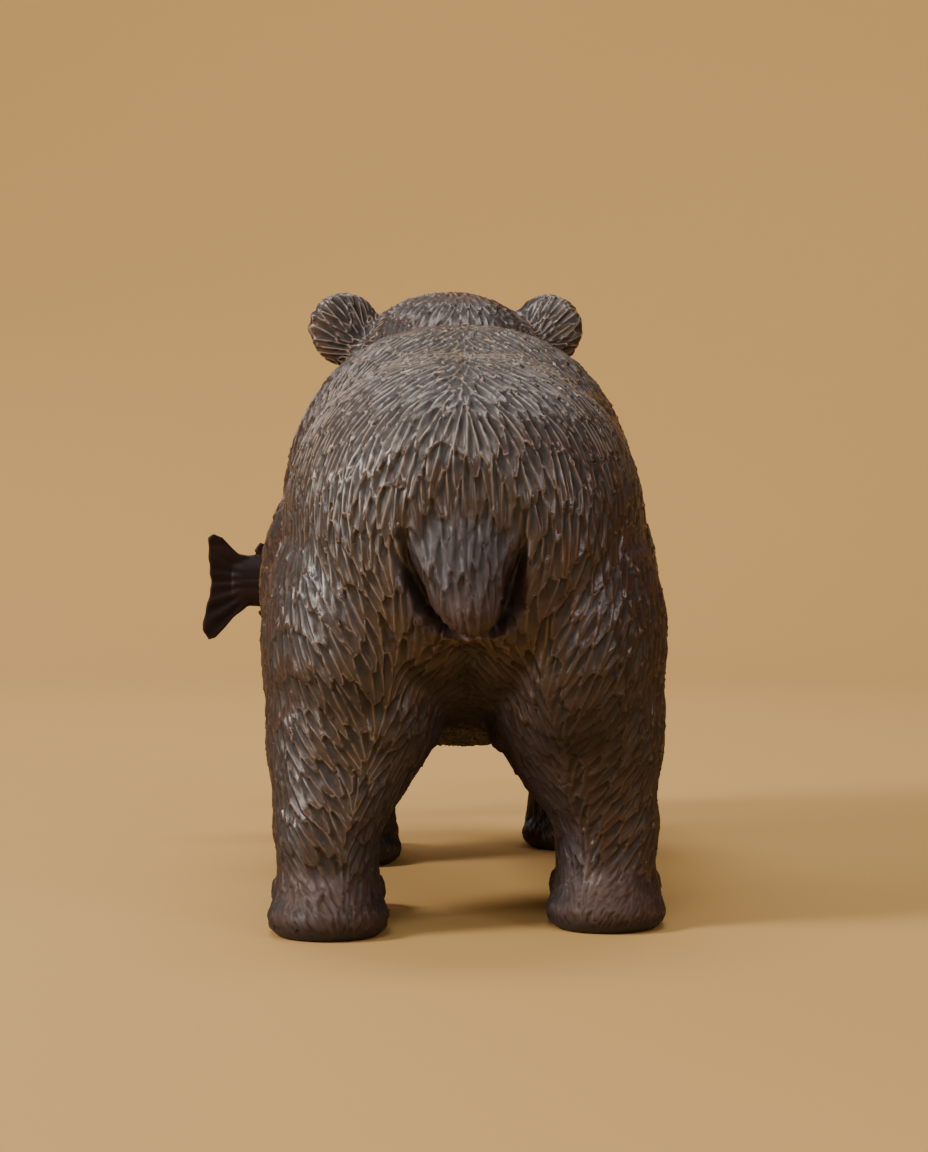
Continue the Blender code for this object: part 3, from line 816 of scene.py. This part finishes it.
def salmon_sections(spare=0.0):
    """The salmon from snout to tail root in metres: along, middle height, half height, half thickness."""
    length = FISH_LENGTH
    height = FISH_HEIGHT / 2
    thick = FISH_THICKNESS / 2
    shares = [
        (0.500, -0.10, 0.10, 0.10),
        (0.480, -0.08, 0.34, 0.36),
        (0.420, -0.03, 0.66, 0.72),
        (0.330, 0.00, 0.88, 0.94),
        (0.200, 0.00, 1.00, 1.00),
        (0.050, 0.00, 1.00, 1.00),
        (-0.100, 0.00, 0.92, 0.90),
        (-0.230, 0.00, 0.76, 0.70),
        (-0.330, 0.00, 0.66, 0.48),
        (-0.385, 0.00, 0.62, 0.34),
        (-0.425, -0.02, 0.58, 0.24),
    ]
    return [
        (length * along, height * middle, height * tall + spare, thick * wide + spare)
        for along, middle, tall, wide in shares
    ]


def salmon_body(form, spare=0.0, scale=1.0):
    """The salmon's body along X with its snout at +X."""
    rings = []
    for along, middle, half_height, half_thickness in smooth_rows(salmon_sections(spare), 6):
        ring = []
        for index in range(ROUND_POINTS):
            angle = 2 * math.pi * index / ROUND_POINTS
            out = half_thickness * math.cos(angle)
            above = middle + half_height * math.sin(angle)
            ring.append(form.verts.new(Vector((along, out, above)) * scale))
        rings.append(ring)
    join_rings(form, rings)


def fin_outlines():
    """Each fin as points along the salmon and above its middle line, in metres."""
    end = -FISH_LENGTH / 2
    span = TAIL_FIN_SPAN
    edge = [
        (0.46, 0.20), (0.41, 0.235), (0.34, 0.25), (0.27, 0.32), (0.19, 0.405),
        (0.10, 0.445), (0.05, 0.40), (0.05, 0.27), (0.06, 0.12), (0.076, -0.045),
        (0.05, -0.17), (0.0, -0.37), (0.0, -0.47), (0.05, -0.555), (0.12, -0.53),
        (0.21, -0.435), (0.29, -0.34), (0.38, -0.27), (0.46, -0.20),
    ]
    outlines = {"tail_fin": [(end + span * ahead, span * above) for ahead, above in edge]}
    length = FISH_LENGTH
    height = FISH_HEIGHT
    for name, ahead, root, tip, spread in (
        ("small_back_fin", -0.318, 0.25, 0.47, 0.026),
        ("vent_fin", -0.305, -0.25, -0.52, 0.03),
        ("belly_fin", -0.10, -0.40, -0.66, 0.035),
        ("breast_fin", 0.30, -0.36, -0.64, 0.035),
    ):
        lean = 0.03
        outlines[name] = [
            (length * (ahead + spread), height * root),
            (length * (ahead - spread), height * root),
            (length * (ahead - spread - lean), height * (root + tip) / 2),
            (length * (ahead - spread * 0.4 - lean), height * tip),
            (length * (ahead + spread * 0.6 - lean), height * (root + 4 * tip) / 5),
        ]
    return outlines


def add_fin(form, outline, thickness, scale):
    """Adds one fin as a flat plate in the salmon's upright middle plane."""
    out = -thickness / 2 * scale
    plate = [form.verts.new((along * scale, out, above * scale)) for along, above in outline]
    face = form.faces.new(plate)
    extruded = bmesh.ops.extrude_face_region(form, geom=[face])["geom"]
    moved = [thing for thing in extruded if isinstance(thing, bmesh.types.BMVert)]
    bmesh.ops.translate(form, verts=moved, vec=(0, thickness * scale, 0))


def salmon_cuts(places):
    """How deep the gill line, mouth, eye, side line and fin rays are cut, all in millimetres."""
    along, _, above = places.T
    length = FISH_LENGTH / UNIT
    height = FISH_HEIGHT / UNIT
    gill_line = length * 0.315 - 0.012 * (above - 1) ** 2
    gill = np.exp(-(((along - gill_line) / 0.7) ** 2)) * ease(height * 0.42, height * 0.34, np.abs(above))
    mouth_line = -3.2 + 0.06 * (along - length * 0.44)
    mouth = np.exp(-(((above - mouth_line) / 0.5) ** 2)) * ease(length * 0.42, length * 0.44, along)
    eye_apart = np.hypot(along - length * 0.43, above - 2.2)
    eye = np.exp(-(((eye_apart - 2.1) / 0.5) ** 2)) - 0.6 * ease(1.7, 0.6, eye_apart)
    side_line = np.exp(-(((above - 0.6) / 0.5) ** 2)) * ease(length * 0.29, length * 0.25, along)
    side_line = side_line * ease(-length * 0.42, -length * 0.38, along)
    root = -length * 0.36
    turn = np.arctan2(above, root - along + 4)
    from_root = np.hypot(above, root - along + 4)
    rays = ease(8, 15, from_root) * ease(root - 6, root - 11, along)
    rays = rays * (0.5 + 0.5 * np.cos(turn * 26))
    body_edge = 0.5 * height * np.sqrt(np.clip(1 - (2 * along / length) ** 2, 0.1, 1))
    small = np.where(np.abs(above) > body_edge, 1, 0)
    ribs = small * (along > root) * (0.5 + 0.5 * np.cos((along + 0.4 * above) * 3.2))
    return 0.8 * gill + 0.7 * mouth + 0.8 * eye + 0.25 * side_line + 0.38 * rays + 0.3 * ribs


def build_salmon():
    scale = 1 / UNIT
    form = bmesh.new()
    salmon_body(form, scale=scale)
    for outline in fin_outlines().values():
        add_fin(form, outline, FIN_THICKNESS, scale)
    bmesh.ops.recalc_face_normals(form, faces=form.faces[:])
    places = np.array([vert.co for vert in form.verts])
    mesh = remeshed(form, 0.5, 2)
    sharp, _ = mesh_arrays(mesh)
    thing = new_object("rounding", mesh.copy())
    fillet = thing.modifiers.new("fillet", "SMOOTH")
    fillet.factor = 0.5
    fillet.iterations = 10
    soft = applied(thing)
    rounded, normals = mesh_arrays(soft)
    proud = np.sum((sharp - rounded) * normals, 1)
    worn = ease(0.05, 0.3, proud)
    cut = salmon_cuts(rounded)
    put_places(soft, sharp + (rounded - sharp) * 0.35 - normals * cut[:, None])
    put_attribute(soft, "worn", worn)
    # Painted shade: the deeper a line is cut, the darker it is painted.
    put_attribute(soft, "hollow", ease(0.1, 0.7, cut))
    return soft, places


def turn_and_place(places):
    """Millimetres on the salmon's own axes, carried to its place in the mouth."""
    return places @ np.array(turned("Z", HEAD_LEFT)).T + np.array(fish_middle())


def finer_where_seen(mesh):
    """Splits the faces that the photograph looks at into four."""
    places, normals = mesh_arrays(mesh)
    seen = in_view(places, normals)
    form = bmesh.new()
    form.from_mesh(mesh)
    form.verts.ensure_lookup_table()
    edges = [edge for edge in form.edges if seen[edge.verts[0].index] and seen[edge.verts[1].index]]
    bmesh.ops.subdivide_edges(form, edges=edges, cuts=1, use_grid_fill=True)
    bmesh.ops.triangulate(form, faces=[face for face in form.faces if len(face.verts) > 4])
    form.to_mesh(mesh)
    form.free()


def in_view(places, normals):
    """Which places the photograph's camera looks at, with the back's crest and the crown behind it."""
    towards = np.array(CAMERA_AT) / UNIT - places
    towards = towards / np.linalg.norm(towards, axis=1)[:, None]
    near = (places[:, 1] < 120) | (places[:, 2] < 50)
    seen = (np.sum(towards * normals, 1) > 0.0) & near & (places[:, 2] > 1.5)
    dome = (places[:, 2] > 176) & (normals[:, 1] < 0.3) & (places[:, 1] < 262)
    return seen | dome


def build_bear(shift):
    mesh = bear_skin()
    strokes = choose_strokes(*mesh_arrays(mesh))
    finer_where_seen(mesh)
    places, normals = mesh_arrays(mesh)
    depth, ridge, shade = carve_strokes(strokes, places, normals)
    hollow = tail_hollows(places, normals) + ear_hollows(places, normals)
    cut = depth + hollow + face_cuts(places)
    carved = places - normals * cut[:, None]
    carved[:, 2] = np.maximum(carved[:, 2], 0)
    put_places(mesh, carved)
    mesh = thinned(mesh, in_view(places, normals))
    scaled, _ = mesh_arrays(mesh)
    put_places(mesh, scaled * UNIT + shift)
    made = new_object("carved_bear", mesh)
    form = bmesh.new()
    salmon_body(form, MOUTH_CLEARANCE)
    seat = new_object("seat", mesh_from(form, "seat"))
    seat.location = np.array(fish_middle()) * UNIT + shift
    seat.rotation_euler = (0, 0, math.radians(HEAD_LEFT))
    bite = made.modifiers.new("seat", "BOOLEAN")
    bite.operation = "DIFFERENCE"
    bite.solver = "EXACT"
    bite.object = seat
    mesh = applied(made)
    bpy.data.objects.remove(seat, do_unlink=True)
    mesh.materials.clear()
    final, _ = mesh_arrays(mesh)
    tree = point_tree(carved)
    nearest = np.array([tree.find(place)[1] for place in (final - shift) / UNIT])
    put_attribute(mesh, "ridge", ridge[nearest])
    put_attribute(mesh, "shade", shade[nearest])
    # Painted shade in the deepest grooves beside and under the tail, the thighs' crease and the ears'
    # bowls; the eyes and nose are stained black.
    dark = np.maximum(np.clip(hollow / 4 - 0.5, 0, 1), dark_features(places))
    put_attribute(mesh, "hollow", dark[nearest])
    put_attribute(mesh, "painted_shade", painted_shade_places(places, normals)[nearest])
    put_attribute(mesh, "lit_and_rubbed", lit_and_rubbed_places(places)[nearest])
    put_attribute(mesh, "worn", worn_places(places, normals)[nearest])
    for face in mesh.polygons:
        face.use_smooth = True
    return new_object("carved_bear", mesh)


class Nodes:
    """Adds shader nodes to one material."""

    def __init__(self, name):
        self.material = bpy.data.materials.new(name)
        self.material.use_nodes = True
        self.tree = self.material.node_tree
        self.shader = self.tree.nodes["Principled BSDF"]

    def add(self, kind, settings=None, **values):
        made = self.tree.nodes.new("ShaderNode" + kind)
        for key, value in (settings or {}).items():
            setattr(made, key, value)
        for key, value in values.items():
            self.feed(made.inputs[key.replace("_", " ")], value)
        return made

    def feed(self, socket, value):
        if isinstance(value, bpy.types.NodeSocket):
            self.tree.links.new(value, socket)
        else:
            socket.default_value = value

    def attribute(self, name):
        return self.add("Attribute", {"attribute_name": name}).outputs["Fac"]

    def spots(self, scale, detail=3.0, roughness=0.5, stretch=(1, 1, 1)):
        place = self.add("TexCoord").outputs["Object"]
        mapped = self.add("Mapping", Vector=place, Scale=stretch).outputs["Vector"]
        noise = self.add("TexNoise", Vector=mapped, Scale=scale, Detail=detail, Roughness=roughness)
        return noise.outputs["Fac"]

    def ramp(self, value, low, high, start=0.0, stop=1.0):
        made = self.add("MapRange", {"interpolation_type": "SMOOTHSTEP"}, Value=value)
        for key, number in (("From Min", low), ("From Max", high), ("To Min", start), ("To Max", stop)):
            made.inputs[key].default_value = number
        return made.outputs["Result"]

    def maths(self, operation, one, other):
        made = self.add("Math", {"operation": operation})
        self.feed(made.inputs[0], one)
        self.feed(made.inputs[1], other)
        return made.outputs[0]

    def mix(self, share, one, other):
        made = self.add("Mix", {"data_type": "RGBA"})
        self.feed(made.inputs["Factor"], share)
        self.feed(made.inputs[6], (*one, 1) if isinstance(one, tuple) else one)
        self.feed(made.inputs[7], (*other, 1) if isinstance(other, tuple) else other)
        return made.outputs[2]


def bear_wood():
    """Dark stained and waxed wood, paler on the ridges and orange brown where it is worn, with painted
    highlight and painted shade.
    """
    made = Nodes("dark_carved_wood")
    clouds = made.spots(16.0, 4.0, 0.55)
    patches = made.spots(42.0, 5.0, 0.6)
    specks = made.spots(600.0, 4.0, 0.6)
    fibres = made.spots(320.0, 3.0, 0.6, (1, 0.12, 1))
    lit_and_rubbed = made.attribute("lit_and_rubbed")
    ridge = made.ramp(made.attribute("ridge"), 0.45, 1.0)
    stained = made.mix(made.ramp(clouds, 0.42, 0.62), BROWN_STAIN, RED_STAIN)
    # Painted highlight and rubbing: the lit top and left side take the paler colour.
    lit_rubbed = made.mix(made.ramp(clouds, 0.42, 0.62), LIT_RUBBED_BROWN, LIT_RUBBED_RED)
    colour = made.mix(lit_and_rubbed, stained, lit_rubbed)
    colour = made.mix(made.ramp(patches, 0.5, 0.7, 0.0, 0.55), colour, DARK_PATCH)
    colour = made.mix(made.ramp(fibres, 0.35, 0.75, 0.0, 0.25), colour, FIBRE)
    # Painted shade at each scoop's root.
    deep = made.ramp(made.attribute("shade"), 0.0, 0.8, 0.0, 0.9)
    colour = made.mix(deep, colour, SCOOP_ROOT_SHADE)
    # Painted highlight and rubbing on the ridges, strongest on the lit top and left side.
    ridge_sheen_and_rub = made.maths("MULTIPLY", ridge, made.ramp(lit_and_rubbed, 0.3, 0.75, 0.15, 1.0))
    colour = made.mix(ridge_sheen_and_rub, colour, LIT_RUBBED_RIDGE)
    worn = made.maths("MULTIPLY", made.attribute("worn"), made.ramp(patches, 0.42, 0.58, 0.45, 0.9))
    colour = made.mix(worn, colour, BARE_WOOD)
    orange = made.maths("MULTIPLY", ridge, made.ramp(patches, 0.4, 0.6, 0.0, 0.35))
    orange = made.maths("MULTIPLY", orange, made.ramp(lit_and_rubbed, 0.1, 0.5, 1.0, 0.0))
    colour = made.mix(orange, colour, ORANGE_RIDGE)
    # Painted shade under the body, between the legs, on the tail and round the soles.
    painted_shade = made.attribute("painted_shade")
    colour = made.mix(made.maths("MULTIPLY", painted_shade, 0.8), colour, PAINTED_SHADE_TONE)
    deep = made.maths("MAXIMUM", deep, painted_shade)
    # Painted shade in the deepest hollows, and the eyes and nose stained black.
    colour = made.mix(made.attribute("hollow"), colour, HOLLOW_SHADE_AND_BLACK)
    made.feed(made.shader.inputs["Base Color"], colour)
    dull = made.maths("ADD", made.ramp(specks, 0.3, 0.7, 0.26, 0.38), made.maths("MULTIPLY", deep, 0.35))
    dull = made.maths("ADD", dull, made.maths("MULTIPLY", worn, 0.3))
    made.feed(made.shader.inputs["Roughness"], dull)
    made.shader.inputs["Specular IOR Level"].default_value = 0.58
    height = made.maths("ADD", made.maths("MULTIPLY", fibres, 0.6), made.maths("MULTIPLY", specks, 0.4))
    bump = made.add("Bump", Height=height, Strength=0.3, Distance=0.0003)
    made.feed(made.shader.inputs["Normal"], bump.outputs["Normal"])
    return made.material


def salmon_wood():
    """Nearly black stained wood with its grain along the salmon and brown wear along its edges."""
    made = Nodes("darker_smooth_wood")
    fibres = made.spots(300.0, 4.0, 0.6, (0.06, 1, 1))
    patches = made.spots(60.0, 4.0, 0.6)
    colour = made.mix(made.ramp(fibres, 0.3, 0.7), FISH_STAIN, FISH_FIBRE)
    worn = made.maths("MULTIPLY", made.attribute("worn"), made.ramp(patches, 0.3, 0.6, 0.2, 0.8))
    colour = made.mix(worn, colour, FISH_EDGE)
    # Painted shade in the cut lines.
    colour = made.mix(made.attribute("hollow"), colour, FISH_CUT_SHADE)
    made.feed(made.shader.inputs["Base Color"], colour)
    made.feed(made.shader.inputs["Roughness"], made.ramp(fibres, 0.3, 0.7, 0.45, 0.6))
    made.shader.inputs["Specular IOR Level"].default_value = 0.18
    bump = made.add("Bump", Height=fibres, Strength=0.25, Distance=0.0003)
    made.feed(made.shader.inputs["Normal"], bump.outputs["Normal"])
    return made.material


def stage():
    """A plain pale floor that sweeps up all round into a plain backdrop."""
    form = bmesh.new()
    rings = []
    for step in range(FLOOR_RINGS + 1):
        t = step / FLOOR_RINGS
        if t < FLAT_SHARE:
            radius = max(FLOOR_RADIUS * (t / FLAT_SHARE), SMALLEST_RING)
            height = 0.0
        else:
            angle = (t - FLAT_SHARE) / (1 - FLAT_SHARE) * math.pi / 2
            radius = FLOOR_RADIUS + SWEEP_WIDTH * math.sin(angle)
            height = SWEEP_HEIGHT * (1 - math.cos(angle))
        ring = []
        for index in range(FLOOR_POINTS):
            turn = 2 * math.pi * index / FLOOR_POINTS
            ring.append(form.verts.new((radius * math.cos(turn), radius * math.sin(turn), height)))
        rings.append(ring)
    for one, other in zip(rings, rings[1:]):
        for index in range(FLOOR_POINTS):
            following = (index + 1) % FLOOR_POINTS
            form.faces.new((one[index], other[index], other[following], one[following]))
    form.faces.new(rings[0])
    for face in form.faces:
        face.smooth = True
    floor = new_object("floor", mesh_from(form, "floor"))
    made = Nodes("pale_floor")
    tone = made.mix(made.spots(3.0, 2.0), *FLOOR_TONES)
    made.feed(made.shader.inputs["Base Color"], tone)
    made.shader.inputs["Roughness"].default_value = 0.9
    made.shader.inputs["Specular IOR Level"].default_value = 0.2
    floor.data.materials.append(made.material)


def area_light(name, place, target, size, power, colour):
    """A round lamp that shines at its target; sizes in metres and power in watts."""
    data = bpy.data.lights.new(name, "AREA")
    data.shape = "DISK"
    data.size = size
    data.energy = power
    data.color = colour
    made = bpy.data.objects.new(name, data)
    made.location = place
    made.rotation_euler = (Vector(target) - Vector(place)).to_track_quat("-Z", "Y").to_euler()
    bpy.context.scene.collection.objects.link(made)


def light_and_camera(shift):
    world = bpy.data.worlds.new("studio")
    world.use_nodes = True
    world.node_tree.nodes["Background"].inputs["Color"].default_value = (0.95, 0.96, 1.0, 1)
    world.node_tree.nodes["Background"].inputs["Strength"].default_value = 0.15
    bpy.context.scene.world = world
    middle = (0, 0, 0.1)
    area_light("key", (-1.2, -0.75, 1.1), middle, 0.5, 25, (1.0, 0.95, 0.89))
    area_light("side", (-1.3, -0.75, 0.35), middle, 0.5, 7, (1.0, 0.96, 0.92))
    area_light("above", (-0.15, -1.3, 1.4), middle, 0.5, 7.5, (1.0, 0.97, 0.94))
    area_light("fill", (1.1, -1.4, 0.8), middle, 0.7, 7.5, (0.96, 0.96, 0.98))
    area_light("front", (-0.7, 1.5, 1.1), middle, 1.0, 4, (0.97, 0.98, 1.0))
    area_light("backdrop", (0, 0.6, 1.9), (0, 2.2, 0.4), 1.4, 37, (1.0, 0.97, 0.92))
    area_light("backdrop_behind", (0, -0.9, 1.9), (0, -2.4, 0.3), 1.4, 9, (1.0, 0.97, 0.92))
    data = bpy.data.cameras.new("camera")
    data.sensor_width = 36
    data.lens = LENS
    data.clip_start = 0.01
    made = bpy.data.objects.new("camera", data)
    made.location = Vector(CAMERA_AT) + Vector(shift)
    made.rotation_euler = (math.radians(90 - CAMERA_DOWN), 0, 0)
    bpy.context.scene.collection.objects.link(made)
    bpy.context.scene.camera = made


def build():
    salmon_mesh, cage = build_salmon()
    placed = turn_and_place(cage) * UNIT
    low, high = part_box("salmon")
    shift = (np.array(low) + np.array(high)) / 2 - (placed.min(0) + placed.max(0)) / 2
    shift[2] = 0
    places, _ = mesh_arrays(salmon_mesh)
    put_places(salmon_mesh, turn_and_place(places) * UNIT + shift)
    for face in salmon_mesh.polygons:
        face.use_smooth = True
    fish = new_object("carved_salmon", salmon_mesh)
    bear = build_bear(shift)
    for piece, node, material in ((bear, "bear", bear_wood()), (fish, "salmon", salmon_wood())):
        piece.data.materials.append(material)
        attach(piece, "root")
        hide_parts(node)
    stage()
    light_and_camera(shift)


build()
